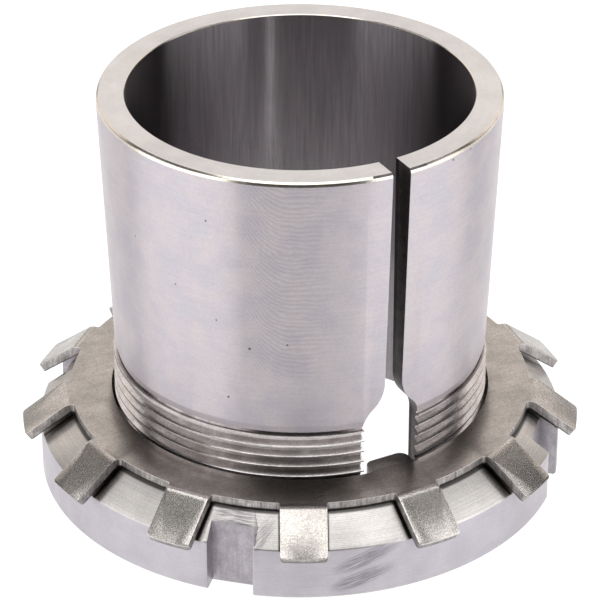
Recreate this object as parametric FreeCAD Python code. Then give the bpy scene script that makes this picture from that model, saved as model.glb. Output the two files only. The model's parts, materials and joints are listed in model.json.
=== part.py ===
import FreeCAD, Part
import math
import os

# A split taper sleeve that expands between a shaft and a bearing, with its lock washer and its lock nut.
# The sleeve stands with its threaded small end down and its slit towards -Y, and its axis is Z.
# The origin lies on the axis, in the nut's outer face, which is level with the end of the sleeve.
# The nut draws the sleeve down through a tapered bearing ring, and the split bore then grips the shaft.
# The thread is kept as a plain cylinder at its crests, with the nut's bore clear of it.
# The washer's tang lies in the sleeve's keyway, and its thirteen tabs lie along the nut's chamfer.
# All lengths are in millimetres, angles in degrees.

# Sleeve
bore_radius = 22.5
sleeve_length = 55.0
thread_wall = 2.5              # bore to thread crest
thread_length = 18.0
thread_pitch = 1.5
thread_depth_share = 0.6134    # depth of a metric thread as a share of its pitch
thread_end_chamfer = 0.8
relief_width = 0.35            # turned groove where the thread runs out
taper_on_diameter = 1 / 12
taper_below_crest = 0.27       # the taper starts this much inside the thread's crests
taper_lead_height = 1.0
taper_lead_depth = 0.3
large_end_chamfer_height = 0.6
large_end_chamfer_depth = 0.17
large_end_bore_break = 0.25    # the bore's small end is left sharp
slit_width = 2.5
keyway_side_clearance = 1.0    # each side of the washer's tang
keyway_over_thread = 0.2       # straight keyway past the end of the thread
runout_lower_radius = 3.4      # the keyway closes to the slit in two tangent arcs
runout_upper_radius = 5.0

# Lock washer, pressed from sheet
washer_thickness = 1.2
washer_bore_clearance = 0.25   # over the thread's crests
washer_ring_width = 5.55
tab_count = 13
tab_width = 6.0
tab_reach = 6.6                # from the ring's edge to the tab's tip, seen along the axis
tab_bend_radius = 0.5          # inside of the bend
tab_root_fillet = 0.4          # the bend starts this far outside the ring
tab_tip_fillet = 0.5
tang_width = 6.0
tang_tip_clearance = 0.15      # from the tip of the tang to the shaft
tang_tip_fillet = 1.2
tang_root_fillet = 0.4

# Lock nut
nut_thickness = 10.5
nut_face_inset = 0.2           # the flat face ends this far inside the washer's ring
nut_chamfer_width = 4.4
nut_chamfer_angle = 36.4       # the tabs are bent to the same slope
nut_edge_break = 0.3
nut_thread_chamfer = 0.7
nut_bore_clearance = 0.1       # over the thread's crests
washer_seat_gap = 0.05         # between the nut's face and the washer
spanner_slot_count = 4
spanner_slot_width = 6.0
spanner_slot_depth = 2.5
nut_turn = -43.3               # from the slit to the first spanner slot, about +Z

# Sizes that follow from the ones above
thread_major_radius = bore_radius + thread_wall
thread_root_radius = thread_major_radius - thread_depth_share * thread_pitch
relief_top = thread_length + relief_width
taper_start = relief_top + taper_lead_height
taper_small_radius = thread_major_radius - taper_below_crest
keyway_width = tang_width + 2 * keyway_side_clearance
keyway_straight_height = thread_length + keyway_over_thread
washer_bore_radius = thread_major_radius + washer_bore_clearance
washer_ring_radius = washer_bore_radius + washer_ring_width
washer_bottom = nut_thickness + washer_seat_gap
washer_top = washer_bottom + washer_thickness
tab_slope = nut_chamfer_angle
tab_tip_radius = washer_ring_radius + tab_reach
tang_tip_radius = bore_radius + tang_tip_clearance
nut_face_radius = washer_ring_radius - nut_face_inset
nut_radius = nut_face_radius + nut_chamfer_width
nut_bore_radius = thread_major_radius + nut_bore_clearance

CENTRE = FreeCAD.Vector(0, 0, 0)
UP = FreeCAD.Vector(0, 0, 1)
THROUGH = 1.0                  # how far a cutter runs past the face that it leaves by


def taper_radius(height):
    return taper_small_radius + (height - taper_start) * taper_on_diameter / 2


def turned(profile):
    """A solid of revolution from a closed outline of (radius, height) points."""
    points = [FreeCAD.Vector(radius, 0, height) for radius, height in profile]
    outline = Part.makePolygon(points + points[:1])
    return Part.Face(outline).revolve(CENTRE, UP, 360)


def cylinder_between(radius, low, high):
    return Part.makeCylinder(radius, high - low, FreeCAD.Vector(0, 0, low))


def radial_block(width, inner, outer, low, high):
    """A straight block that runs outwards along -Y, between two distances from the axis."""
    corner = FreeCAD.Vector(-width / 2, -outer, low)
    return Part.makeBox(width, outer - inner, high - low, corner)


def turned_copies(shape, count, first_angle=0.0):
    copies = []
    for number in range(count):
        copy = shape.copy()
        copy.rotate(CENTRE, UP, first_angle + number * 360 / count)
        copies.append(copy)
    return copies


def upright_edges(shape, low_radius, high_radius):
    """The straight edges parallel to the axis whose distance from it lies between two radii."""
    chosen = []
    for edge in shape.Edges:
        start = edge.Vertexes[0].Point
        end = edge.Vertexes[-1].Point
        radius = math.hypot(start.x, start.y)
        is_upright = math.hypot(end.x - start.x, end.y - start.y) < 1e-6 and abs(end.z - start.z) > 1e-6
        if is_upright and low_radius < radius < high_radius:
            chosen.append(edge)
    return chosen


def sleeve_blank():
    """The turned sleeve before it is split: plain bore, thread cylinder, relief groove and taper."""
    top_radius = taper_radius(sleeve_length)
    chamfer_foot = sleeve_length - large_end_chamfer_height
    return turned([
        (bore_radius, 0),
        (thread_major_radius - thread_end_chamfer, 0),
        (thread_major_radius, thread_end_chamfer),
        (thread_major_radius, thread_length),
        (thread_root_radius, thread_length),
        (thread_root_radius, relief_top),
        (taper_small_radius - taper_lead_depth, relief_top),
        (taper_small_radius, taper_start),
        (taper_radius(chamfer_foot), chamfer_foot),
        (top_radius - large_end_chamfer_depth, sleeve_length),
        (bore_radius + large_end_bore_break, sleeve_length),
        (bore_radius, sleeve_length - large_end_bore_break),
    ])


def keyway_cutter():
    """The slit and the keyway below it as one cutter. Two arcs on each side join them with no corner."""
    half_slit = slit_width / 2
    half_key = keyway_width / 2
    arcs = runout_lower_radius + runout_upper_radius
    turn = math.acos(1 - (half_key - half_slit) / arcs)
    runout_top = keyway_straight_height + arcs * math.sin(turn)
    meet = (
        half_key - runout_lower_radius * (1 - math.cos(turn)),
        keyway_straight_height + runout_lower_radius * math.sin(turn),
    )
    lower_middle = (
        half_key - runout_lower_radius * (1 - math.cos(turn / 2)),
        keyway_straight_height + runout_lower_radius * math.sin(turn / 2),
    )
    upper_middle = (
        half_slit + runout_upper_radius * (1 - math.cos(turn / 2)),
        runout_top - runout_upper_radius * math.sin(turn / 2),
    )

    def at(point, side):
        return FreeCAD.Vector(side * point[0], 0, point[1])

    def side_edges(side):
        foot = (half_key, -THROUGH)
        shoulder = (half_key, keyway_straight_height)
        throat = (half_slit, runout_top)
        mouth = (half_slit, sleeve_length + THROUGH)
        return [
            Part.makeLine(at(foot, side), at(shoulder, side)),
            Part.Arc(at(shoulder, side), at(lower_middle, side), at(meet, side)).toShape(),
            Part.Arc(at(meet, side), at(upper_middle, side), at(throat, side)).toShape(),
            Part.makeLine(at(throat, side), at(mouth, side)),
        ]

    slit_end = (half_slit, sleeve_length + THROUGH)
    key_end = (half_key, -THROUGH)
    top = Part.makeLine(at(slit_end, 1), at(slit_end, -1))
    bottom = Part.makeLine(at(key_end, -1), at(key_end, 1))
    edges = side_edges(1) + [top] + side_edges(-1) + [bottom]
    outline = Part.Wire(Part.__sortEdges__(edges))
    reach = taper_radius(sleeve_length) + THROUGH
    return Part.Face(outline).extrude(FreeCAD.Vector(0, -reach, 0))


def make_sleeve():
    return sleeve_blank().cut(keyway_cutter())


def pressed_tab():
    """One tab with its neck: sheet that runs out level, then bends down along the nut's chamfer."""
    slope = math.radians(tab_slope)
    outer = tab_bend_radius + washer_thickness
    bend_start = washer_ring_radius + tab_root_fillet
    hidden_end = washer_ring_radius - washer_ring_width / 2
    tip_run = tab_tip_radius - bend_start - outer * math.sin(slope)
    flat_length = tip_run / math.cos(slope)

    def on_strip(out, height):
        return FreeCAD.Vector(-tab_width / 2, -out, height)

    def on_bend(radius, angle, past=0.0):
        out = bend_start + radius * math.sin(angle) + past * math.cos(angle)
        height = washer_top - outer + radius * math.cos(angle) - past * math.sin(angle)
        return on_strip(out, height)

    def bend(radius):
        return Part.Arc(on_bend(radius, 0), on_bend(radius, slope / 2), on_bend(radius, slope)).toShape()

    top_corner = on_bend(outer, slope, flat_length)
    low_corner = on_bend(tab_bend_radius, slope, flat_length)
    edges = [
        Part.makeLine(on_strip(hidden_end, washer_top), on_bend(outer, 0)),
        bend(outer),
        Part.makeLine(on_bend(outer, slope), top_corner),
        Part.makeLine(top_corner, low_corner),
        Part.makeLine(low_corner, on_bend(tab_bend_radius, slope)),
        bend(tab_bend_radius),
        Part.makeLine(on_bend(tab_bend_radius, 0), on_strip(hidden_end, washer_bottom)),
        Part.makeLine(on_strip(hidden_end, washer_bottom), on_strip(hidden_end, washer_top)),
    ]
    strip = Part.Face(Part.Wire(edges)).extrude(FreeCAD.Vector(tab_width, 0, 0))
    strip = strip.common(blank_edge(top_corner, slope, bend_start + outer * slope + flat_length))
    across = low_corner - top_corner
    tip_edges = [
        edge for edge in strip.Edges
        if edge.tangentAt(edge.FirstParameter).cross(across).Length < 1e-6 * across.Length
        and -edge.CenterOfMass.y > bend_start + tip_run / 2
    ]
    return strip.makeFillet(tab_tip_fillet, tip_edges)


def blank_edge(tip, slope, blank_radius):
    """The round edge of the flat blank, tipped with the tab. It crowns the tab's tip about its middle."""
    outwards = FreeCAD.Vector(0, -math.cos(slope), -math.sin(slope))
    through_sheet = FreeCAD.Vector(0, -math.sin(slope), math.cos(slope))
    middle = FreeCAD.Vector(0, tip.y, tip.z) - outwards * blank_radius
    foot = middle - through_sheet * blank_radius
    return Part.makeCylinder(blank_radius, 2 * blank_radius, foot, through_sheet)


def washer_bore():
    """What the press removes from the middle: the bore, less the tang with its rounded corners."""
    low = washer_bottom - THROUGH
    high = washer_top + THROUGH
    tang = radial_block(tang_width, tang_tip_radius, washer_bore_radius + THROUGH, low, high)
    bore = cylinder_between(washer_bore_radius, low, high).cut(tang)
    tip_edges = upright_edges(bore, tang_tip_radius - tang_tip_fillet, tang_tip_radius + tang_tip_fillet)
    bore = bore.makeFillet(tang_tip_fillet, tip_edges)
    low_radius = washer_bore_radius - tang_root_fillet
    high_radius = washer_bore_radius + tang_root_fillet
    return bore.makeFillet(tang_root_fillet, upright_edges(bore, low_radius, high_radius))


def make_lock_washer():
    plate = cylinder_between(washer_ring_radius, washer_bottom, washer_top)
    plate = plate.multiFuse(turned_copies(pressed_tab(), tab_count)).removeSplitter()
    half_neck = tab_root_fillet / 2
    root_edges = upright_edges(plate, washer_ring_radius - half_neck, washer_ring_radius + half_neck)
    return plate.makeFillet(tab_root_fillet, root_edges).cut(washer_bore())


def make_lock_nut():
    chamfer_height = nut_chamfer_width * math.tan(math.radians(nut_chamfer_angle))
    ring = turned([
        (nut_bore_radius + nut_thread_chamfer, 0),
        (nut_radius - nut_edge_break, 0),
        (nut_radius, nut_edge_break),
        (nut_radius, nut_thickness - chamfer_height),
        (nut_face_radius, nut_thickness),
        (nut_bore_radius + nut_thread_chamfer, nut_thickness),
        (nut_bore_radius, nut_thickness - nut_thread_chamfer),
        (nut_bore_radius, nut_thread_chamfer),
    ])
    floor = nut_radius - spanner_slot_depth
    slot = radial_block(spanner_slot_width, floor, nut_radius + THROUGH, -THROUGH, nut_thickness + THROUGH)
    return ring.cut(turned_copies(slot, spanner_slot_count, nut_turn))


def write(name, shape):
    solid = shape.Solids[0]
    state = "valid" if solid.isValid() else "NOT VALID"
    print(name, state, len(shape.Solids), "solid", round(solid.Volume, 1), "mm3")
    solid.exportStep(os.path.join("parts", name + ".step"))


os.makedirs("parts", exist_ok=True)
write("sleeve", make_sleeve())
write("lock_washer", make_lock_washer())
write("lock_nut", make_lock_nut())
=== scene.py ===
import json
import math
import bmesh
import bpy
from mathutils import Matrix, Vector


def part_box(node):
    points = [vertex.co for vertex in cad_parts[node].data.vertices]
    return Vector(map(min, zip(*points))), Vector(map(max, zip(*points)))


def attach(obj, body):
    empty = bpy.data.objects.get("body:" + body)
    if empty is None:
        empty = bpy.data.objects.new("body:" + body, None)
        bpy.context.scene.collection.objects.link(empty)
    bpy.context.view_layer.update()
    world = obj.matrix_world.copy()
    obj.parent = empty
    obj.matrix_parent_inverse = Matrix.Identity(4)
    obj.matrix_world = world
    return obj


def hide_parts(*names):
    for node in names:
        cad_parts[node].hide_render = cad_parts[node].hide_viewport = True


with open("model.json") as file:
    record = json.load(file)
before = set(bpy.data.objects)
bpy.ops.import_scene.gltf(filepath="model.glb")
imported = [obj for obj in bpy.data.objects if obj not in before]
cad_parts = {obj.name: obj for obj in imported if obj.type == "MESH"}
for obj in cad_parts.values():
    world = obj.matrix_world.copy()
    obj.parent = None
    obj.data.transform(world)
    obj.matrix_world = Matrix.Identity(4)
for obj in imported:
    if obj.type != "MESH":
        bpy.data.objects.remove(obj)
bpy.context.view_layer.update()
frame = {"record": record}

mm = 0.001
tau = 2 * math.pi
upAxis = Vector((0, 0, 1))
sameSpot = 0.0005 * mm  # points nearer than this are merged
samePlane = 0.0001 * mm  # points nearer than this to a cutting plane are on it
nearby = 0.01 * mm  # room given to a face or edge that is looked for by its place


# reading the solids: every seat of the dressed pieces comes from the frame

sleeveLow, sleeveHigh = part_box("sleeve")
nutLow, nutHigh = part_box("lock_nut")
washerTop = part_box("lock_washer")[1].z
shaftBore = next(m for m in frame["record"]["mounts"] if m["name"] == "shaft_bore")
boreRadius = shaftBore["dims"]["r_mm"] * mm
sleeveLength = sleeveHigh.z - sleeveLow.z
nutRadius = (nutHigh.x - nutLow.x) / 2
nutThickness = nutHigh.z - nutLow.z


# small helpers

def fromMesh(bm, name):
    bmesh.ops.remove_doubles(bm, verts=bm.verts, dist=sameSpot)
    bmesh.ops.recalc_face_normals(bm, faces=bm.faces)
    mesh = bpy.data.meshes.new(name)
    bm.to_mesh(mesh)
    bm.free()
    piece = bpy.data.objects.new(name, mesh)
    bpy.context.scene.collection.objects.link(piece)
    return piece


def arcPoints(centre, radius, first, last, steps):
    points = []
    for step in range(steps + 1):
        angle = math.radians(first + (last - first) * step / steps)
        points.append((centre[0] + radius * math.cos(angle), centre[1] + radius * math.sin(angle)))
    return points


def roundedProfile(corners, segments):
    # corners are (radius, height, rounding); each rounding is a short arc between its two sides
    mostOfSide = 0.45  # a rounding takes no more than this share of the shorter side
    points = []
    count = len(corners)
    for number, (x, z, rounding) in enumerate(corners):
        here = Vector((x, z))
        before = Vector(corners[number - 1][:2])
        after = Vector(corners[(number + 1) % count][:2])
        if rounding == 0:
            points.append(here)
            continue
        inward = (before - here).normalized()
        outward = (after - here).normalized()
        turn = inward.angle(outward)
        shortest = min((before - here).length, (after - here).length)
        setback = min(rounding / math.tan(turn / 2), mostOfSide * shortest)
        start = here + inward * setback
        end = here + outward * setback
        for step in range(segments + 1):
            t = step / segments
            points.append(start * (1 - t) ** 2 + here * 2 * t * (1 - t) + end * t ** 2)
    return points


def turnedSolid(name, corners, steps, segments):
    bm = bmesh.new()
    ring = [bm.verts.new((p.x, 0, p.y)) for p in roundedProfile(corners, segments)]
    edges = [bm.edges.new((a, b)) for a, b in zip(ring, ring[1:] + ring[:1])]
    bmesh.ops.spin(bm, geom=ring + edges, cent=(0, 0, 0), axis=upAxis, dvec=(0, 0, 0),
                   angle=tau, steps=steps, use_merge=True, use_normal_flip=False,
                   use_duplicate=False)
    return fromMesh(bm, name)


def cutAway(piece, cutters):
    for cutter in cutters:
        modifier = piece.modifiers.new("cut", "BOOLEAN")
        modifier.operation = "DIFFERENCE"
        modifier.solver = "EXACT"
        modifier.object = cutter
    bpy.context.view_layer.update()
    depsgraph = bpy.context.evaluated_depsgraph_get()
    mesh = bpy.data.meshes.new_from_object(piece.evaluated_get(depsgraph))
    piece.modifiers.clear()
    piece.data = mesh
    for cutter in cutters:
        bpy.data.objects.remove(cutter)


def breakEdges(piece, width, chosen):
    # the file or tumbling takes the sharpness off the chosen edges
    bm = bmesh.new()
    bm.from_mesh(piece.data)
    bmesh.ops.remove_doubles(bm, verts=bm.verts, dist=sameSpot)
    edges = [e for e in bm.edges if len(e.link_faces) == 2 and chosen(e)]
    bmesh.ops.bevel(bm, geom=edges, offset=width, offset_type="OFFSET", affect="EDGES",
                    segments=2, profile=0.5, material=-1, clamp_overlap=True)
    bm.to_mesh(piece.data)
    bm.free()


def shadeByAngle(piece, angle):
    piece.data.polygons.foreach_set("use_smooth", [True] * len(piece.data.polygons))
    piece.data.set_sharp_from_angle(angle=angle)


def middle(edge):
    return (edge.verts[0].co + edge.verts[1].co) / 2


# the thread that sleeve and nut share

threadShape = {
    "pitch": 1.5 * mm,
    "flank": math.radians(30),
    "phase": math.radians(-25),  # which turns the crests round the axis
    "outerMouth": 7 / 16,  # half the groove's width at the crests, as a share of the pitch
    "innerMouth": 3 / 8,
    "toolOver": 0.1 * mm,  # how far the cutting tools stand out past the crests
    "toolStart": -2 * mm,  # below the pieces, so that the thread is full from its first turn
    "toolSteps": 128,  # for each turn
}


def threadTool(name, crest, root, halfMouth, lowest, highest):
    # a thread-cutting tool: the groove's section is run up a helix and its two ends are closed
    t = threadShape
    over = math.copysign(t["toolOver"], crest - root)
    mouth = t["pitch"] * halfMouth + t["toolOver"] * math.tan(t["flank"])
    floor = mouth - abs(crest + over - root) * math.tan(t["flank"])
    section = [(crest + over, -mouth), (root, -floor), (root, floor), (crest + over, mouth)]
    steps = round((highest - lowest) / t["pitch"] * t["toolSteps"])
    bm = bmesh.new()
    ring = [bm.verts.new((r, 0, lowest + z)) for r, z in section]
    edges = [bm.edges.new((a, b)) for a, b in zip(ring, ring[1:] + ring[:1])]
    bmesh.ops.spin(bm, geom=ring + edges, cent=(0, 0, 0), axis=upAxis,
                   dvec=(0, 0, t["pitch"] / t["toolSteps"]), angle=tau * steps / t["toolSteps"],
                   steps=steps, use_merge=False, use_normal_flip=False, use_duplicate=False)
    ends = [e for e in bm.edges if e.is_boundary]
    bmesh.ops.holes_fill(bm, edges=ends, sides=len(section))
    bmesh.ops.rotate(bm, verts=bm.verts, cent=(0, 0, 0),
                     matrix=Matrix.Rotation(t["phase"], 3, "Z"))
    return fromMesh(bm, name)


# the split sleeve

sleeveShape = {
    "threadCrest": 24.93 * mm,
    "threadRoot": 24.08 * mm,
    "threadEnd": 18.0 * mm,
    "threadRunOut": 17.55 * mm,
    "threadRounding": 0.05 * mm,
    "endChamfer": 0.8 * mm,
    "endRounding": 0.08 * mm,
    "reliefTop": 18.3 * mm,
    "reliefRadius": 24.25 * mm,
    "taperFoot": 24.43 * mm,
    "taperFootRounding": 0.05 * mm,
    "taperStart": 19.35 * mm,
    "taperSmall": 24.73 * mm,
    "taperStartRounding": 0.6 * mm,
    "taper": 1 / 24,
    "rimFoot": 0.58 * mm,
    "rimFootRounding": 0.15 * mm,
    "rimCorner": (0.14 * mm, 0.22 * mm),  # how far in and how far down it lies
    "rimCornerRounding": 0.12 * mm,
    "rimDepth": 0.4 * mm,
    "rimTopRounding": 0.1 * mm,
    "boreBreak": 0.12 * mm,
    "boreBreakRounding": (0.04 * mm, 0.03 * mm),  # at the top face and at the bore
    "slit": 2.5 * mm,
    "keyway": 8.0 * mm,
    "keywayTop": 18.2 * mm,
    "lowerArc": 3.4 * mm,
    "upperArc": 5.0 * mm,
    "arcSteps": 8,
    "toolInside": 20 * mm,  # the keyway tool goes from inside the bore to outside the taper
    "toolOutside": 28 * mm,
    "edgeBreak": 0.09 * mm,
    "edgeBreakFrom": 18.4 * mm,  # slit and keyway are broken from this height up
    "edgeSharpness": math.radians(50),  # edges sharper than this are broken
    "smoothBelow": math.radians(32),
    "roundingSteps": 5,
    "steps": 256,
}


def taperRadius(height):
    return sleeveShape["taperSmall"] + (height - sleeveShape["taperStart"]) * sleeveShape["taper"]


def makeSleeveBlank():
    s = sleeveShape
    top = sleeveLength
    crest = s["threadCrest"]
    chamfer = s["endChamfer"]
    rimRadius = taperRadius(top)
    cornerIn, cornerDown = s["rimCorner"]
    topRounding, wallRounding = s["boreBreakRounding"]
    corners = [
        (boreRadius, sleeveLow.z, s["endRounding"]),
        (crest - chamfer, sleeveLow.z, s["endRounding"]),
        (crest, sleeveLow.z + chamfer, s["threadRounding"]),
        (crest, s["threadEnd"], s["threadRounding"]),
        (s["reliefRadius"], s["threadEnd"], 0),
        (s["reliefRadius"], s["reliefTop"], 0),
        (s["taperFoot"], s["reliefTop"], s["taperFootRounding"]),
        (s["taperSmall"], s["taperStart"], s["taperStartRounding"]),
        (taperRadius(top - s["rimFoot"]), top - s["rimFoot"], s["rimFootRounding"]),
        (rimRadius - cornerIn, top - cornerDown, s["rimCornerRounding"]),
        (rimRadius - s["rimDepth"], top, s["rimTopRounding"]),
        (boreRadius + s["boreBreak"], top, topRounding),
        (boreRadius, top - s["boreBreak"], wallRounding),
    ]
    return turnedSolid("split_sleeve", corners, s["steps"], s["roundingSteps"])


def keywayTool():
    # slit and keyway in one: two tangent arcs on each side lead from the wide part to the narrow,
    # and the tool stands out a millimetre at both ends
    s = sleeveShape
    halfSlit = s["slit"] / 2
    halfKey = s["keyway"] / 2
    arcs = s["lowerArc"] + s["upperArc"]
    turn = math.degrees(math.acos(1 - (halfKey - halfSlit) / arcs))
    throat = s["keywayTop"] + arcs * math.sin(math.radians(turn))
    steps = s["arcSteps"]
    lowerCentre = (halfKey - s["lowerArc"], s["keywayTop"])
    upperCentre = (halfSlit + s["upperArc"], throat)
    lower = arcPoints(lowerCentre, s["lowerArc"], 0, turn, steps)
    upper = arcPoints(upperCentre, s["upperArc"], 180 + turn, 180, steps)
    right = [(halfKey, -mm)] + lower + upper[1:] + [(halfSlit, sleeveLength + mm)]
    left = [(-x, z) for x, z in reversed(right)]
    bm = bmesh.new()
    face = bm.faces.new([bm.verts.new((x, -s["toolInside"], z)) for x, z in right + left])
    grown = bmesh.ops.extrude_face_region(bm, geom=[face])
    moved = [v for v in grown["geom"] if isinstance(v, bmesh.types.BMVert)]
    bmesh.ops.translate(bm, verts=moved, vec=(0, s["toolInside"] - s["toolOutside"], 0))
    return fromMesh(bm, "keyway_tool")


def makeSleeve():
    s = sleeveShape
    t = threadShape
    sleeve = makeSleeveBlank()
    thread = threadTool("thread_tool", s["threadCrest"], s["threadRoot"], t["outerMouth"],
                        t["toolStart"], s["threadRunOut"])
    cutAway(sleeve, [thread, keywayTool()])

    def isSlitEdge(edge):
        c = middle(edge)
        inCut = c.y < 0 and abs(c.x) < s["keyway"] / 2 + nearby
        sharp = edge.calc_face_angle(0) > s["edgeSharpness"]
        return inCut and c.z > s["edgeBreakFrom"] and sharp

    breakEdges(sleeve, s["edgeBreak"], isSlitEdge)
    shadeByAngle(sleeve, s["smoothBelow"])
    return sleeve


print("split sleeve")
sleevePiece = makeSleeve()
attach(sleevePiece, "sleeve")
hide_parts("sleeve")


# the pressed lock washer

washerShape = {
    "thickness": 1.2 * mm,
    "bore": 25.33 * mm,
    "ring": 30.8 * mm,
    "tabs": 13,
    "tabWidth": 6.0 * mm,
    "tabReach": 37.4 * mm,
    "rootFillet": 0.4 * mm,
    "tipFillet": 0.5 * mm,
    "bendRadius": 0.5 * mm,
    "slope": math.radians(36.4),
    "tangWidth": 6.0 * mm,
    "tangTip": 22.65 * mm,
    "tangFillet": 1.2 * mm,
    "tangRootFillet": 0.4 * mm,
    "edgeBreak": 0.17 * mm,
    "edgeSharpness": math.radians(60),
    "edgeSegments": 3,
    # a corner that faces up is worn bright and also painted brighter as a highlight; one that faces
    # down is not
    "flatLean": 0.98,  # how upright a face's normal is: above this it is the sheet's own face,
    "cornerLean": 0.1,  # above this a corner that rubbing has worn bright,
    "ringLean": 0.995,  # and above this, once the tabs are bent, the flat ring
    "smoothBelow": math.radians(28),
    "tabSteps": {"root": 4, "tip": 5, "crown": 6, "gap": 10, "bend": 8},
    "holeSteps": {"root": 5, "tip": 6, "bore": 180},
}


def turnPoint(x, y, angle):
    return (x * math.cos(angle) - y * math.sin(angle), x * math.sin(angle) + y * math.cos(angle))


def bendStart():
    return washerShape["ring"] + washerShape["rootFillet"]


def washerOutline():
    # the flat blank's outer edge; every tab is drawn towards -Y and then turned to its place
    w = washerShape
    steps = w["tabSteps"]
    half = w["tabWidth"] / 2
    outer = w["bendRadius"] + w["thickness"]
    bentReach = bendStart() + outer * math.sin(w["slope"])
    flatRun = (w["tabReach"] - bentReach) / math.cos(w["slope"])
    blankTip = bendStart() + outer * w["slope"] + flatRun
    rootSide = half + w["rootFillet"]
    rootOut = math.sqrt(bendStart() ** 2 - rootSide ** 2)
    rootLean = math.degrees(math.atan2(rootSide, rootOut))
    root = arcPoints((rootSide, -rootOut), w["rootFillet"], 90 + rootLean, 180, steps["root"])
    tipSide = half - w["tipFillet"]
    tipOut = math.sqrt((blankTip - w["tipFillet"]) ** 2 - tipSide ** 2)
    tipLean = math.degrees(math.atan2(tipSide, tipOut))
    tip = arcPoints((tipSide, -tipOut), w["tipFillet"], 0, tipLean - 90, steps["tip"])
    crown = arcPoints((0, 0), blankTip, tipLean - 90, -tipLean - 90, steps["crown"])[1:-1]
    right = root + tip
    left = [(-x, y) for x, y in reversed(right)]
    tabPoints = list(reversed(right + crown + left))
    step = tau / w["tabs"]
    gapStart = math.atan2(tabPoints[-1][0], -tabPoints[-1][1])
    gapEnd = step - gapStart
    gapPoints = []
    for number in range(1, steps["gap"]):
        angle = gapStart + (gapEnd - gapStart) * number / steps["gap"]
        gapPoints.append((w["ring"] * math.sin(angle), -w["ring"] * math.cos(angle)))
    outline = []
    for tab in range(w["tabs"]):
        outline += [turnPoint(x, y, tab * step) for x, y in tabPoints + gapPoints]
    return outline


def washerHole():
    w = washerShape
    steps = w["holeSteps"]
    half = w["tangWidth"] / 2
    fillet = w["tangFillet"]
    tip = arcPoints((half - fillet, -w["tangTip"] - fillet), fillet, 0, 90, steps["tip"])
    rootSide = half + w["tangRootFillet"]
    rootOut = math.sqrt((w["bore"] - w["tangRootFillet"]) ** 2 - rootSide ** 2)
    rootAngle = math.atan2(rootSide, rootOut)
    root = arcPoints((rootSide, -rootOut), w["tangRootFillet"], math.degrees(rootAngle) - 90,
                     -180, steps["root"])
    right = root + tip
    hole = right + [(-x, y) for x, y in reversed(right)]
    for number in range(1, steps["bore"]):
        angle = rootAngle + (tau - 2 * rootAngle) * number / steps["bore"]
        hole.append((-w["bore"] * math.sin(angle), -w["bore"] * math.cos(angle)))
    return hole


def closedLoop(bm, points):
    verts = [bm.verts.new((x, y, 0)) for x, y in points]
    return [bm.edges.new((a, b)) for a, b in zip(verts, verts[1:] + verts[:1])]


def punchBlank(bm):
    # the flat sheet with its hole, its thickness and the broken corners of its sheared edge
    w = washerShape
    edges = closedLoop(bm, washerOutline()) + closedLoop(bm, washerHole())
    bmesh.ops.triangle_fill(bm, use_beauty=True, use_dissolve=False, edges=edges)
    bmesh.ops.recalc_face_normals(bm, faces=bm.faces)
    if sum(f.normal.z for f in bm.faces) < 0:
        bmesh.ops.reverse_faces(bm, faces=bm.faces)
    grown = bmesh.ops.extrude_face_region(bm, geom=list(bm.faces), use_keep_orig=True)
    lowered = [v for v in grown["geom"] if isinstance(v, bmesh.types.BMVert)]
    bmesh.ops.translate(bm, verts=lowered, vec=(0, 0, -w["thickness"]))
    bmesh.ops.recalc_face_normals(bm, faces=bm.faces)
    corners = [e for e in bm.edges if e.calc_face_angle(0) > w["edgeSharpness"]
               and abs(e.verts[0].co.z - e.verts[1].co.z) < nearby]
    bmesh.ops.bevel(bm, geom=corners, offset=w["edgeBreak"], offset_type="OFFSET",
                    affect="EDGES", segments=w["edgeSegments"], profile=0.5, material=-1,
                    clamp_overlap=True)


def bendTab(bm, direction):
    # the tab is divided along its bend, and then every point of it goes where the bend takes it
    w = washerShape
    side = Vector((-direction.y, direction.x, 0))
    start = bendStart()
    outer = w["bendRadius"] + w["thickness"]
    bendLength = outer * w["slope"]
    divisions = w["tabSteps"]["bend"]

    def onTab(co):
        onRun = co.dot(direction) > w["ring"] - mm
        return onRun and abs(co.dot(side)) < w["tabWidth"] / 2 + w["rootFillet"]

    for number in range(divisions + 1):
        faces = [f for f in bm.faces if any(onTab(v.co) for v in f.verts)]
        verts = list({v for f in faces for v in f.verts})
        edges = list({e for f in faces for e in f.edges})
        at = start + bendLength * number / divisions
        bmesh.ops.bisect_plane(bm, geom=verts + edges + faces, dist=samePlane,
                               plane_co=direction * at, plane_no=direction)
    for v in bm.verts:
        run = v.co.dot(direction) - start
        across = v.co.dot(side)
        if run <= 0 or abs(across) > w["tabWidth"]:
            continue
        angle = min(run / outer, w["slope"])
        past = max(run - bendLength, 0)
        depth = outer + v.co.z
        out = start + depth * math.sin(angle) + past * math.cos(angle)
        high = -outer + depth * math.cos(angle) - past * math.sin(angle)
        v.co = direction * out + side * across + upAxis * high


def makeWasher():
    # the faces' numbers follow the order of washerLooks
    w = washerShape
    sheetFace, shearedEdge, wornHighlitCorner, flatRing = range(4)
    bm = bmesh.new()
    punchBlank(bm)
    bm.normal_update()
    for face in bm.faces:
        lean = face.normal.z
        # only corners that face up get the worn finish with its painted highlight
        leaning = wornHighlitCorner if lean > w["cornerLean"] else shearedEdge
        face.material_index = sheetFace if abs(lean) > w["flatLean"] else leaning
    for tab in range(w["tabs"]):
        angle = tau * tab / w["tabs"]
        bendTab(bm, Vector((math.sin(angle), -math.cos(angle), 0)))
    bmesh.ops.translate(bm, verts=bm.verts, vec=(0, 0, washerTop))
    bm.normal_update()
    for face in bm.faces:
        if face.material_index == sheetFace and abs(face.normal.z) > w["ringLean"]:
            face.material_index = flatRing
    washer = fromMesh(bm, "tab_washer")
    shadeByAngle(washer, w["smoothBelow"])
    return washer


print("lock washer")
washerPiece = makeWasher()
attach(washerPiece, "washer")
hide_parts("lock_washer")


# the slotted lock nut

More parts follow.
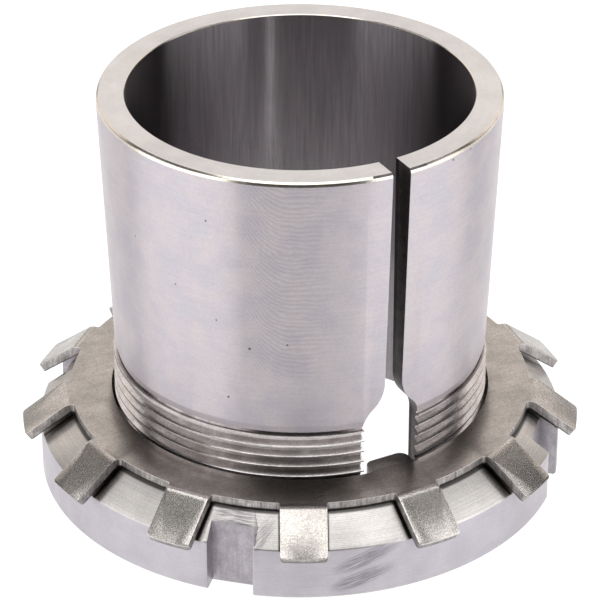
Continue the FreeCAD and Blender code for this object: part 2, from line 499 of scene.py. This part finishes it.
nutShape = {
    "face": 30.6 * mm,
    "faceRounding": 0.12 * mm,
    "chamferHeight": 4.4 * mm * math.tan(washerShape["slope"]),  # the tabs lie along it
    "rimRounding": 0.35 * mm,
    "outerBreak": 0.3 * mm,
    "outerRounding": 0.1 * mm,
    "minor": 24.34 * mm,
    "major": 25.15 * mm,
    "mouthChamfer": 1.4 * mm,
    "mouthSteepness": 0.6,
    "mouthRounding": 0.08 * mm,
    "threadToolTop": 13 * mm,
    "slots": 4,
    "slotWidth": 6.0 * mm,
    "slotDepth": 2.5 * mm,
    "slotTurn": math.radians(-43.3),
    "slotTool": (6 * mm, 20 * mm, 5 * mm),  # its reach outwards, its height and its middle
    "edgeBreak": 0.12 * mm,
    "edgeBreakInside": 0.2 * mm,  # edges are broken from this far inside the slots' floors
    "edgeSharpness": math.radians(40),
    "smoothBelow": math.radians(32),
    "roundingSteps": 3,
    "steps": 256,
}


def makeNutBlank():
    n = nutShape
    top = nutThickness
    bottom = nutLow.z
    mouth = n["minor"] + n["mouthChamfer"]
    mouthHeight = n["mouthChamfer"] * n["mouthSteepness"]
    corners = [
        (mouth, bottom, n["mouthRounding"]),
        (nutRadius - n["outerBreak"], bottom, n["outerRounding"]),
        (nutRadius, bottom + n["outerBreak"], n["outerRounding"]),
        (nutRadius, top - n["chamferHeight"], n["rimRounding"]),
        (n["face"], top, n["faceRounding"]),
        (mouth, top, n["mouthRounding"]),
        (n["minor"], top - mouthHeight, 0),
        (n["minor"], bottom + mouthHeight, 0),
    ]
    return turnedSolid("slotted_nut", corners, n["steps"], n["roundingSteps"])


def slotTool(angle, floor):
    reach, height, middleHeight = nutShape["slotTool"]
    size = Matrix.Diagonal((nutShape["slotWidth"], reach, height, 1))
    shift = Matrix.Translation((0, -floor - reach / 2, middleHeight))
    bm = bmesh.new()
    bmesh.ops.create_cube(bm, size=1, matrix=Matrix.Rotation(angle, 4, "Z") @ shift @ size)
    return fromMesh(bm, "slot_tool")


def makeNut():
    n = nutShape
    t = threadShape
    nut = makeNutBlank()
    # the nut's grooves take the sleeve's turns, so they lie half a pitch below its grooves
    thread = threadTool("inner_thread_tool", n["minor"], n["major"], t["innerMouth"],
                        t["toolStart"] - t["pitch"] / 2, n["threadToolTop"])
    floor = nutRadius - n["slotDepth"]
    angles = [n["slotTurn"] + tau * number / n["slots"] for number in range(n["slots"])]
    cutAway(nut, [thread] + [slotTool(angle, floor) for angle in angles])
    sides = [Vector((math.cos(angle), math.sin(angle), 0)) for angle in angles]

    def isSlotEdge(edge):
        c = middle(edge)
        outside = math.hypot(c.x, c.y) > floor - n["edgeBreakInside"]
        inSlot = any(abs(c.dot(side)) < n["slotWidth"] / 2 + nearby for side in sides)
        sharp = edge.calc_face_angle(0) > n["edgeSharpness"] and edge.is_convex
        return outside and inSlot and sharp

    breakEdges(nut, n["edgeBreak"], isSlotEdge)
    shadeByAngle(nut, n["smoothBelow"])
    return nut


print("lock nut")
nutPiece = makeNut()
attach(nutPiece, "nut")
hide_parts("lock_nut")


# finishes

def linear(hexColour):
    channels = [int(hexColour[i:i + 2], 16) / 255 for i in (1, 3, 5)]
    return [c / 12.92 if c <= 0.04045 else ((c + 0.055) / 1.055) ** 2.4 for c in channels] + [1]


def addNode(tree, kind, inputs=(), output=0, **settings):
    # one node with its settings: an input that comes out of another node is linked, any other set
    node = tree.nodes.new("ShaderNode" + kind)
    for name, value in settings.items():
        setattr(node, name, value)
    for socket, value in inputs.items() if isinstance(inputs, dict) else enumerate(inputs):
        if isinstance(value, bpy.types.NodeSocket):
            tree.links.new(value, node.inputs[socket])
        else:
            node.inputs[socket].default_value = value
    return node.outputs[output] if node.outputs else None


def newMaterial(name):
    material = bpy.data.materials.new(name)
    material.use_nodes = True
    material.node_tree.nodes.clear()
    return material, material.node_tree


def surfacePlace(tree):
    # where a point of the piece lies, in millimetres; "turned" runs outwards on a face and down
    # on a wall, so that what is fine along it becomes rings round the axis
    here = addNode(tree, "TexCoord", output="Object")
    plain = addNode(tree, "VectorMath", (here, (1 / mm,) * 3), operation="MULTIPLY")
    x, y, height = addNode(tree, "SeparateXYZ", (plain,)).node.outputs
    flat = addNode(tree, "VectorMath", (plain, (1, 1, 0)), operation="MULTIPLY")
    radius = addNode(tree, "VectorMath", (flat,), "Value", operation="LENGTH")
    along = addNode(tree, "Math", (radius, height), operation="SUBTRACT")
    turned = addNode(tree, "CombineXYZ", (x, y, along))
    toSlit = addNode(tree, "Math", (y, -1), operation="MULTIPLY")
    angle = addNode(tree, "Math", (x, toSlit), operation="ARCTAN2")
    return {"plain": plain, "turned": turned, "along": along,
            "angle": angle, "radius": radius, "height": height}


def grain(tree, vector, size, detail=2):
    # grains of the given size in millimetres along the three directions of the vector
    shrink = tuple(1 / v for v in size)
    scaled = addNode(tree, "VectorMath", (vector, shrink), operation="MULTIPLY")
    inputs = {"Vector": scaled, "Scale": 1, "Detail": detail, "Roughness": 0.6}
    return addNode(tree, "TexNoise", inputs)


# marks on single finishes; lengths are in millimetres and angles are counted from the slit

sleeveMarks = {
    "chatterTint": "#3A3634",
    "chatterShade": 0.14,
    "chatterPitch": 0.66,
    # angles where it begins and is full, where it begins to fade and is gone, and heights where
    # it begins and is full
    "chatterFrom": (math.radians(-47.5), math.radians(-47.5) + 0.06),
    "chatterTo": (math.radians(-31), math.radians(-14)),
    "chatterAbove": (24, 30),
    "bendRise": 6.0,  # how far the lines have bent up where they are bendRun short of chatterTo
    "bendRun": math.radians(15),
    "waver": 1.5,
    "waverSize": (4, 4, 2),
    "pitTint": "#241F1E",
    "pitShade": 0.75,
    # angle in degrees, height and radius
    "pits": [
        (-55.1, 48.3, 0.18), (-66.3, 37.6, 0.16), (-52.9, 34.1, 0.17), (-49.9, 22.9, 0.22),
        (-43.0, 30.7, 0.24), (-32.1, 31.7, 0.18), (-82.5, 41.7, 0.15), (17.8, 54.1, 0.2),
        (25.5, 54.2, 0.16), (64.0, 36.5, 0.2), (151.0, 27.0, 0.22), (-158.0, 44.0, 0.2),
    ],
    "flankTint": "#1D1B1E",
    "flankShade": 0.8,
    "flankEdge": (0.5, 0.9),  # outwards from the bore: all up to the first, none past the second
}

nutMarks = {
    "rubTint": "#68646A",
    "rubShade": 0.75,
    "rubFade": (0.4, 1),
    "scratchSize": (0.7, 0.1, 1),
    "scratchRange": (0.38, 0.56),
    # angle in degrees and height of the middle, slant in degrees, half length and half width
    "rubs": [
        (-14.4, 5.6, 20, 5.8, 1.4), (-15.6, 2.6, 17, 5.2, 1.4), (98.0, 3.6, -14, 3.0, 0.8),
        (-43.3, 9.8, 0, 4.4, 1.7), (-36.6, 8.5, 40, 2.6, 1.2),
    ],
    # painted shadow in the crevices beside the tabs and along the washer's ring
    "paintedShade": 0.85,
    "shadeUnderTab": (0.5, 0.1),  # from the tab's side inwards: none at the first, all at the second
    "shadePastTab": (0.1, 0.36),  # and outwards: all at the first, none at the second
    "shadePastRing": (0.12, 0.42),
    "shadeAboveFoot": 0.4,  # it begins this far below the chamfer's foot and is full at it
}

washerMarks = {
    # painted shadow along the foot of every sheared edge
    "footShade": 0.92,
    "footHeight": (0.14, 0.34),  # above the sheet's underside: all at the first, none at the second
}

# the tint of the painted shadows under the washer's edges and beside its tabs
shadowTint = "#191614"


def chatterAndPits(tree, place, colour):
    # the tool chattered on one side of the wall, and its lines bend up there; there are a few pits
    m = sleeveMarks
    smooth = {"interpolation_type": "SMOOTHSTEP"}
    foot, fade = m["chatterTo"]
    behind = addNode(tree, "Math", (foot, place["angle"]), operation="SUBTRACT")
    behind = addNode(tree, "Math", (behind, 0), operation="MAXIMUM")
    square = addNode(tree, "Math", (behind, behind), operation="MULTIPLY")
    steepness = m["bendRise"] / m["bendRun"] ** 2
    rise = addNode(tree, "Math", (square, steepness), operation="MULTIPLY")
    level = addNode(tree, "Math", (place["height"], rise), operation="SUBTRACT")
    waver = grain(tree, place["plain"], m["waverSize"])
    wavered = addNode(tree, "Math", (waver, m["waver"], level), operation="MULTIPLY_ADD")
    turns = addNode(tree, "Math", (wavered, tau / m["chatterPitch"]), operation="MULTIPLY")
    wave = addNode(tree, "Math", (turns,), operation="SINE")
    depth = addNode(tree, "MapRange", (wave, -1, 1, 0, m["chatterShade"]))
    for part in (
        addNode(tree, "MapRange", (place["angle"], *m["chatterFrom"], 0, 1), **smooth),
        addNode(tree, "MapRange", (place["angle"], foot, fade, 1, 0), **smooth),
        addNode(tree, "MapRange", (place["height"], *m["chatterAbove"], 0, 1), **smooth),
    ):
        depth = addNode(tree, "Math", (depth, part), operation="MULTIPLY")
    mixed = {0: depth, 6: colour, 7: linear(m["chatterTint"])}
    colour = addNode(tree, "Mix", mixed, 2, data_type="RGBA")
    for degrees, height, size in m["pits"]:
        angle = math.radians(degrees)
        radius = taperRadius(height * mm) / mm
        centre = (radius * math.sin(angle), -radius * math.cos(angle), height)
        away = addNode(tree, "VectorMath", (place["plain"], centre), "Value",
                       operation="DISTANCE")
        hollow = addNode(tree, "MapRange", (away, size / 2, size, m["pitShade"], 0), **smooth)
        mixed = {0: hollow, 6: colour, 7: linear(m["pitTint"])}
        colour = addNode(tree, "Mix", mixed, 2, data_type="RGBA")
    return colour


def darkInnerEdge(tree, place, colour):
    # the sawn flank is darker towards its inner edge at the bore
    m = sleeveMarks
    full, none = (boreRadius / mm + reach for reach in m["flankEdge"])
    near = addNode(tree, "MapRange", (place["radius"], full, none, m["flankShade"], 0),
                   interpolation_type="SMOOTHSTEP")
    mixed = {0: near, 6: colour, 7: linear(m["flankTint"])}
    return addNode(tree, "Mix", mixed, 2, data_type="RGBA")


def paintedFootShadow(tree, place, colour):
    # painted shadow where the sheet lies on the nut: a dark line along every sheared edge's foot
    w = washerShape
    m = washerMarks
    bent = (bendStart() + w["bendRadius"] * math.tan(w["slope"] / 2)) / mm
    past = addNode(tree, "Math", (place["radius"], bent), operation="SUBTRACT")
    past = addNode(tree, "Math", (past, 0), operation="MAXIMUM")
    flatUnderside = (washerTop - w["thickness"]) / mm
    underside = addNode(tree, "Math", (past, -math.tan(w["slope"]), flatUnderside),
                        operation="MULTIPLY_ADD")
    level = addNode(tree, "Math", (place["height"], underside), operation="SUBTRACT")
    shadowShare = addNode(tree, "MapRange", (level, *m["footHeight"], m["footShade"], 0),
                  interpolation_type="SMOOTHSTEP")
    return addNode(tree, "Mix", {0: shadowShare, 6: colour, 7: linear(shadowTint)}, 2, data_type="RGBA")


def rubMarks(tree, place, colour):
    # slanting rubs on the nut, each a bundle of fine scratches that fades out at its ends
    m = nutMarks
    girth = addNode(tree, "Math", (place["angle"], nutRadius / mm), operation="MULTIPLY")
    rolled = addNode(tree, "CombineXYZ", (girth, place["height"]))
    for angle, height, slant, length, width in m["rubs"]:
        seat = {
            "Vector": rolled,
            "Location": (math.radians(angle) * nutRadius / mm, height, 0),
            "Rotation": (0, 0, math.radians(slant)),
            "Scale": (length, width, 1),
        }
        local = addNode(tree, "Mapping", seat, vector_type="TEXTURE")
        out = addNode(tree, "VectorMath", (local,), "Value", operation="LENGTH")
        inside = addNode(tree, "MapRange", (out, *m["rubFade"], 1, 0),
                         interpolation_type="SMOOTHSTEP")
        scratches = grain(tree, local, m["scratchSize"], 3)
        shade = addNode(tree, "MapRange", (scratches, *m["scratchRange"], 0, m["rubShade"]))
        rubbed = addNode(tree, "Math", (inside, shade), operation="MULTIPLY")
        mixed = {0: rubbed, 6: colour, 7: linear(m["rubTint"])}
        colour = addNode(tree, "Mix", mixed, 2, data_type="RGBA")
    return colour


def rubsAndPaintedShade(tree, place, colour):
    # besides its rubs, the nut's chamfer has lines of painted shadow along the washer's ring and
    # beside each tab
    m = nutMarks
    w = washerShape
    smooth = {"interpolation_type": "SMOOTHSTEP"}
    colour = rubMarks(tree, place, colour)
    halfTab = w["tabWidth"] / mm / 2
    ring = w["ring"] / mm
    foot = (nutThickness - nutShape["chamferHeight"]) / mm
    halfStep = math.pi / w["tabs"]
    turn = addNode(tree, "Math", (place["angle"], halfStep, -halfStep), operation="WRAP")
    sine = addNode(tree, "Math", (turn,), operation="SINE")
    across = addNode(tree, "Math", (sine, place["radius"]), operation="MULTIPLY")
    across = addNode(tree, "Math", (across,), operation="ABSOLUTE")
    none, full = (halfTab - reach for reach in m["shadeUnderTab"])
    under = addNode(tree, "MapRange", (across, none, full, 0, m["paintedShade"]), **smooth)
    full, none = (halfTab + reach for reach in m["shadePastTab"])
    beside = addNode(tree, "MapRange", (across, full, none, 1, 0), **smooth)
    full, none = (ring + reach for reach in m["shadePastRing"])
    byRing = addNode(tree, "MapRange", (place["radius"], full, none, m["paintedShade"], 0), **smooth)
    byTab = addNode(tree, "Math", (under, beside), operation="MULTIPLY")
    lines = addNode(tree, "Math", (byTab, byRing), operation="MAXIMUM")
    onChamfer = addNode(tree, "MapRange", (place["height"], foot - m["shadeAboveFoot"], foot, 0, 1))
    shadowShare = addNode(tree, "Math", (lines, onChamfer), operation="MULTIPLY")
    return addNode(tree, "Mix", {0: shadowShare, 6: colour, 7: linear(shadowTint)}, 2, data_type="RGBA")


specialMarks = {
    "fineTurnedSteel": chatterAndPits,
    "sawnSlitSteel": darkInnerEdge,
    "shearedSheetSteel": paintedFootShadow,
    "turnedNutSteel": rubsAndPaintedShade,
    "fineNutRimSteel": rubMarks,
}

# what all the metals share: the spans of noise that go from no shade to all of it, and its tint
metal = {
    "cloudRange": (0.3, 0.7),
    "lineRange": (0.3, 0.7),
    "grainRange": (0.35, 0.65),
    "shadeTint": "#2E2B2A",
    "feedShare": 0.15,
    "quarterTurn": 0.25,
}


def makeMetal(name, look):
    # look: two tints in clouds of a size, lines of a size on plain or turned places (with the
    # tool's feed, where it has one), and a grain; sizes and depths are in mm. Real ground lines
    # and grain are under 0.1 mm and too fine to show, so they are drawn 0.2 to 0.3 mm wide
    material, tree = newMaterial(name)
    place = surfacePlace(tree)
    cloudNoise = grain(tree, place["plain"], (look["cloud"],) * 3, 3)
    clouds = addNode(tree, "MapRange", (cloudNoise, *metal["cloudRange"], 0, 1),
                     interpolation_type="SMOOTHSTEP")
    lines = grain(tree, place[look["linesOn"]], look["lines"], 3)
    if "feed" in look:
        turns = addNode(tree, "Math", (place["along"], tau / look["feed"]), operation="MULTIPLY")
        rings = addNode(tree, "Math", (turns,), operation="SINE")
        lines = addNode(tree, "Math", (rings, metal["feedShare"], lines),
                        operation="MULTIPLY_ADD")
    specks = grain(tree, place["plain"], (look["grain"],) * 3)
    first, second = look["tints"]
    mixed = {0: clouds, 6: linear(first), 7: linear(second)}
    colour = addNode(tree, "Mix", mixed, 2, data_type="RGBA")
    for pattern, ends, shade in ((lines, metal["lineRange"], look["lineShade"]),
                                 (specks, metal["grainRange"], look["grainShade"])):
        share = addNode(tree, "MapRange", (pattern, *ends, 0, shade))
        mixed = {0: share, 6: colour, 7: linear(metal["shadeTint"])}
        colour = addNode(tree, "Mix", mixed, 2, data_type="RGBA")
    if name in specialMarks:
        colour = specialMarks[name](tree, place, colour)
    lineHeight = addNode(tree, "Math", (lines, look["lineDepth"]), operation="MULTIPLY")
    height = addNode(tree, "Math", (specks, look["grainDepth"], lineHeight),
                     operation="MULTIPLY_ADD")
    inputs = {
        "Base Color": colour,
        "Metallic": 1,
        "Roughness": addNode(tree, "MapRange", (clouds, 0, 1, *look["roughness"])),
        "Normal": addNode(tree, "Bump", {"Strength": 1, "Distance": mm, "Height": height}),
        "Anisotropic": look["anisotropy"],
    }
    if look["anisotropy"]:
        # the cutting marks run round the axis, so a highlight is drawn out along it, which is a
        # quarter turn from them
        inputs["Anisotropic Rotation"] = metal["quarterTurn"]
        inputs["Tangent"] = addNode(tree, "Tangent", direction_type="RADIAL", axis="Z")
    addNode(tree, "OutputMaterial", {"Surface": addNode(tree, "BsdfPrincipled", inputs)})
    return material


sleeveLooks = {
    # turned and ground steel: soft light along the axis, fine rings, a cool sheen
    "fineTurnedSteel": {
        "tints": ("#C9C1C4", "#C0BBC3"), "cloud": 4.0,
        "linesOn": "turned", "lines": (4, 4, 0.25), "lineShade": 0.08, "lineDepth": 0.01,
        "grain": 0.3, "grainShade": 0.08, "grainDepth": 0.004,
        "roughness": (0.36, 0.39), "anisotropy": 0.9,
    },
    # faced rim: paler and warmer than the wall, with hardly any lines
    "facedRimSteel": {
        "tints": ("#CCCACA", "#C4C2C2"), "cloud": 4.0,
        "linesOn": "turned", "lines": (8, 8, 0.3), "lineShade": 0.05, "lineDepth": 0.006,
        "grain": 0.3, "grainShade": 0.06, "grainDepth": 0.004,
        "roughness": (0.36, 0.39), "anisotropy": 0.6,
    },
    # honed bore, its tint darkened as painted shade for the deep hole: dark, and sharp round the
    # axis
    "shadedHonedBoreSteel": {
        "tints": ("#A49EA2", "#9A9598"), "cloud": 9.0,
        "linesOn": "plain", "lines": (0.4, 0.4, 9), "lineShade": 0.3, "lineDepth": 0.0008,
        "grain": 0.3, "grainShade": 0.12, "grainDepth": 0.0,
        "roughness": (0.25, 0.27), "anisotropy": 1.0,
    },
    # sawn flank: dull brownish grey with the saw's lines through the wall
    "sawnSlitSteel": {
        "tints": ("#6F6866", "#585255"), "cloud": 1.5,
        "linesOn": "plain", "lines": (2, 2, 0.3), "lineShade": 0.3, "lineDepth": 0.02,
        "grain": 0.3, "grainShade": 0.2, "grainDepth": 0.01,
        "roughness": (0.45, 0.5), "anisotropy": 0.0,
    },
    # cut thread: bright crests over flanks that mirror the dark under each turn
    "cutThreadSteel": {
        "tints": ("#CFCACA", "#B6B1B0"), "cloud": 2.5,
        "linesOn": "turned", "lines": (3, 3, 0.25), "lineShade": 0.15, "lineDepth": 0.006,
        "grain": 0.3, "grainShade": 0.14, "grainDepth": 0.004,
        "roughness": (0.2, 0.22), "anisotropy": 0.5,
    },
    # chamfered edges: a bright narrow cut, nearly a mirror
    "brightEdgeSteel": {
        "tints": ("#D8D0C6", "#CCC4BA"), "cloud": 3.0,
        "linesOn": "turned", "lines": (5, 5, 0.2), "lineShade": 0.1, "lineDepth": 0.003,
        "grain": 0.3, "grainShade": 0.1, "grainDepth": 0.003,
        "roughness": (0.19, 0.23), "anisotropy": 0.2,
    },
}

washerLooks = {
    # tumbled sheet: glossy and brownish, with a peened grain that sparkles
    "tumbledSheetSteel": {
        "tints": ("#C8C3BE", "#B4AFAA"), "cloud": 3.5,
        "linesOn": "plain", "lines": (3, 0.3, 0.4), "lineShade": 0.1, "lineDepth": 0.002,
        "grain": 0.2, "grainShade": 0.42, "grainDepth": 0.009,
        "roughness": (0.23, 0.28), "anisotropy": 0.0,
    },
    # sheared edge: dull, with the punch's lines through the sheet
    "shearedSheetSteel": {
        "tints": ("#D2CDCC", "#ACA7A4"), "cloud": 1.2,
        "linesOn": "plain", "lines": (0.28, 0.28, 3), "lineShade": 0.6, "lineDepth": 0.03,
        "grain": 0.25, "grainShade": 0.25, "grainDepth": 0.01,
        "roughness": (0.36, 0.42), "anisotropy": 0.0,
    },
    # corners of the sheet that face up: worn bright, and lightened further as a painted highlight
    "wornHighlitSheetSteel": {
        "tints": ("#F4F0EA", "#E4DFD8"), "cloud": 1.5,
        "linesOn": "plain", "lines": (0.5, 0.5, 0.5), "lineShade": 0.15, "lineDepth": 0.006,
        "grain": 0.25, "grainShade": 0.15, "grainDepth": 0.006,
        "roughness": (0.28, 0.34), "anisotropy": 0.0,
    },
    # flat ring: smoother and a little darker than the tabs, where the bending opened the grain
    "flatRingSteel": {
        "tints": ("#B3ADA8", "#A19C97"), "cloud": 4.0,
        "linesOn": "plain", "lines": (4, 0.4, 0.4), "lineShade": 0.12, "lineDepth": 0.002,
        "grain": 0.22, "grainShade": 0.3, "grainDepth": 0.008,
        "roughness": (0.27, 0.31), "anisotropy": 0.0,
    },
}

nutLooks = {
    # turned chamfer and faces: plain rings of the tool
    "turnedNutSteel": {
        "tints": ("#D3CFCC", "#C7C3C0"), "cloud": 5.0, "feed": 0.34,
        "linesOn": "turned", "lines": (30, 30, 0.2), "lineShade": 0.26, "lineDepth": 0.012,
        "grain": 0.3, "grainShade": 0.14, "grainDepth": 0.005,
        "roughness": (0.33, 0.36), "anisotropy": 0.8,
    },
    # fine turned rim of the nut: smooth and cool, nearly without lines
    "fineNutRimSteel": {
        "tints": ("#C0BCC3", "#B7B3BA"), "cloud": 5.0,
        "linesOn": "turned", "lines": (6, 6, 0.25), "lineShade": 0.06, "lineDepth": 0.007,
        "grain": 0.3, "grainShade": 0.06, "grainDepth": 0.003,
        "roughness": (0.36, 0.4), "anisotropy": 0.6,
    },
    # milled slots: matt, with lines along the cutter's run
    "milledSlotSteel": {
        "tints": ("#B8B3B9", "#A8A3A9"), "cloud": 2.0,
        "linesOn": "plain", "lines": (0.4, 0.4, 4), "lineShade": 0.16, "lineDepth": 0.006,
        "grain": 0.3, "grainShade": 0.16, "grainDepth": 0.004,
        "roughness": (0.38, 0.44), "anisotropy": 0.0,
    },
    # inner thread: a little oily, so darker and glossier than the faces
    "nutThreadSteel": {
        "tints": ("#B9B4B1", "#A6A19F"), "cloud": 2.5,
        "linesOn": "turned", "lines": (3, 3, 0.25), "lineShade": 0.15, "lineDepth": 0.006,
        "grain": 0.3, "grainShade": 0.15, "grainDepth": 0.006,
        "roughness": (0.28, 0.32), "anisotropy": 0.5,
    },
}

# how the faces are told apart: by the share of their normal that points along the axis or outwards
faceSorting = {
    "wall": 0.3,  # a wall has less than this along the axis
    "flat": 0.97,  # the flat top of the rim has more
    "endFace": 0.95,  # and so has an end face
    "roundWall": 0.8,  # the sleeve's walls have more than this outwards or inwards
    "rimWall": 0.9,  # and the nut's rim
    "slotInside": 0.7,  # the slots' floors begin at this share of their depth
}


def finish(piece, looks, pick=None):
    # pick says which of the finishes a face has, from its middle and its normal
    for name, look in looks.items():
        piece.data.materials.append(makeMetal(name, look))
    if pick:
        for face in piece.data.polygons:
            face.material_index = list(looks).index(pick(face.center, face.normal))


def sleeveFinish(centre, normal):
    s = sleeveShape
    f = faceSorting
    radius = math.hypot(centre.x, centre.y)
    outward = (normal.x * centre.x + normal.y * centre.y) / radius
    inKeyway = centre.y < 0 and abs(centre.x) < s["keyway"] / 2 + 2 * nearby
    if inKeyway and abs(outward) < f["roundWall"] and abs(normal.z) < f["endFace"]:
        return "sawnSlitSteel"
    if radius < boreRadius + 2 * nearby and abs(normal.z) < f["wall"]:
        return "shadedHonedBoreSteel"
    if centre.z < s["reliefTop"] + nearby:
        return "cutThreadSteel"
    if centre.z > sleeveLength - s["rimFoot"]:
        return "facedRimSteel" if abs(normal.z) > f["flat"] else "brightEdgeSteel"
    return "fineTurnedSteel"


def nutFinish(centre, normal):
    n = nutShape
    f = faceSorting
    radius = math.hypot(centre.x, centre.y)
    outward = (normal.x * centre.x + normal.y * centre.y) / radius
    if radius < n["minor"] + n["mouthChamfer"]:
        return "nutThreadSteel"
    if abs(normal.z) >= f["wall"]:
        return "turnedNutSteel"
    inSlot = radius < nutRadius - n["slotDepth"] * f["slotInside"]
    return "milledSlotSteel" if outward < f["rimWall"] or inSlot else "fineNutRimSteel"


print("finishes")
finish(sleevePiece, sleeveLooks, sleeveFinish)
finish(washerPiece, washerLooks)
finish(nutPiece, nutLooks, nutFinish)


# floor, light and camera

studio = {
    "floor": "#7C7B7A",
    "floorRoughness": 0.8,
    "floorGlow": 0.92,
    "floorReach": 6,  # half its width in metres
    "floorDrop": 10.6 * mm,  # room for the nut when it is wound off the thread's end
    "world": 0.03,
    "azimuth": math.radians(-28.5),
    "distance": 373.75 * mm,
    "height": 238.67 * mm,
    "down": 0.5219,  # radians below the horizon
    "focalPixels": 3244,  # the photograph's lens, in pixels of its frame
    "frame": 600,
    "sensor": 36,
    "clip": (0.05, 20),
    "lampAim": 30 * mm,  # the height on the axis that the lamps face
    # name, azimuth from the camera to the right, elevation, distance, width and height in
    # metres, power and tint
    "lamps": [
        ("overhead", 0, 86, 0.9, 0.88, 0.95, 7.4, "#FFFFFF"),
        ("left", -67, 22, 0.8, 0.92, 0.72, 4.9, "#FFFFFF"),
        ("right", 67, 24, 0.8, 0.92, 0.72, 5.0, "#FFFFFF"),
        ("behind", 180, 29, 1.0, 2.6, 0.85, 9.2, "#FFF8F2"),
    ],
}


def makeFloor():
    bm = bmesh.new()
    bmesh.ops.create_grid(bm, x_segments=1, y_segments=1, size=studio["floorReach"])
    bmesh.ops.translate(bm, verts=bm.verts, vec=(0, 0, -studio["floorDrop"]))
    floor = fromMesh(bm, "floor")
    # a lit table: it glows a little by itself, so it stays pale inside the bore too
    material, tree = newMaterial("paleFloor")
    inputs = {
        "Base Color": linear(studio["floor"]),
        "Roughness": studio["floorRoughness"],
        "Emission Color": linear("#FFFFFF"),
        "Emission Strength": studio["floorGlow"],
    }
    addNode(tree, "OutputMaterial", {"Surface": addNode(tree, "BsdfPrincipled", inputs)})
    floor.data.materials.append(material)


def softBox(name, azimuth, elevation, distance, width, height, power, tint):
    angle = studio["azimuth"] + math.radians(azimuth)
    rise = math.radians(elevation)
    away = Vector((math.sin(angle) * math.cos(rise), -math.cos(angle) * math.cos(rise),
                   math.sin(rise)))
    light = bpy.data.lights.new(name, "AREA")
    light.shape = "RECTANGLE"
    light.size = width
    light.size_y = height
    light.energy = power
    light.color = linear(tint)[:3]
    lamp = bpy.data.objects.new(name, light)
    bpy.context.scene.collection.objects.link(lamp)
    lamp.location = away * distance + upAxis * studio["lampAim"]
    lamp.rotation_euler = away.to_track_quat("Z", "Y").to_euler()


def makeCamera():
    s = studio
    data = bpy.data.cameras.new("camera")
    data.sensor_width = s["sensor"]
    data.lens = s["focalPixels"] / s["frame"] * s["sensor"]
    data.clip_start, data.clip_end = s["clip"]
    camera = bpy.data.objects.new("camera", data)
    bpy.context.scene.collection.objects.link(camera)
    back = Vector((math.sin(s["azimuth"]), -math.cos(s["azimuth"]), 0))
    camera.location = back * s["distance"] + upAxis * s["height"]
    camera.rotation_euler = (math.pi / 2 - s["down"], 0, s["azimuth"])
    bpy.context.scene.camera = camera


print("studio")
scene = bpy.context.scene
scene.view_settings.view_transform = "Standard"
world = bpy.data.worlds.new("studio")
scene.world = world
world.use_nodes = True
world.node_tree.nodes["Background"].inputs[0].default_value = (studio["world"],) * 3 + (1,)
makeFloor()
for lamp in studio["lamps"]:
    softBox(*lamp)
makeCamera()
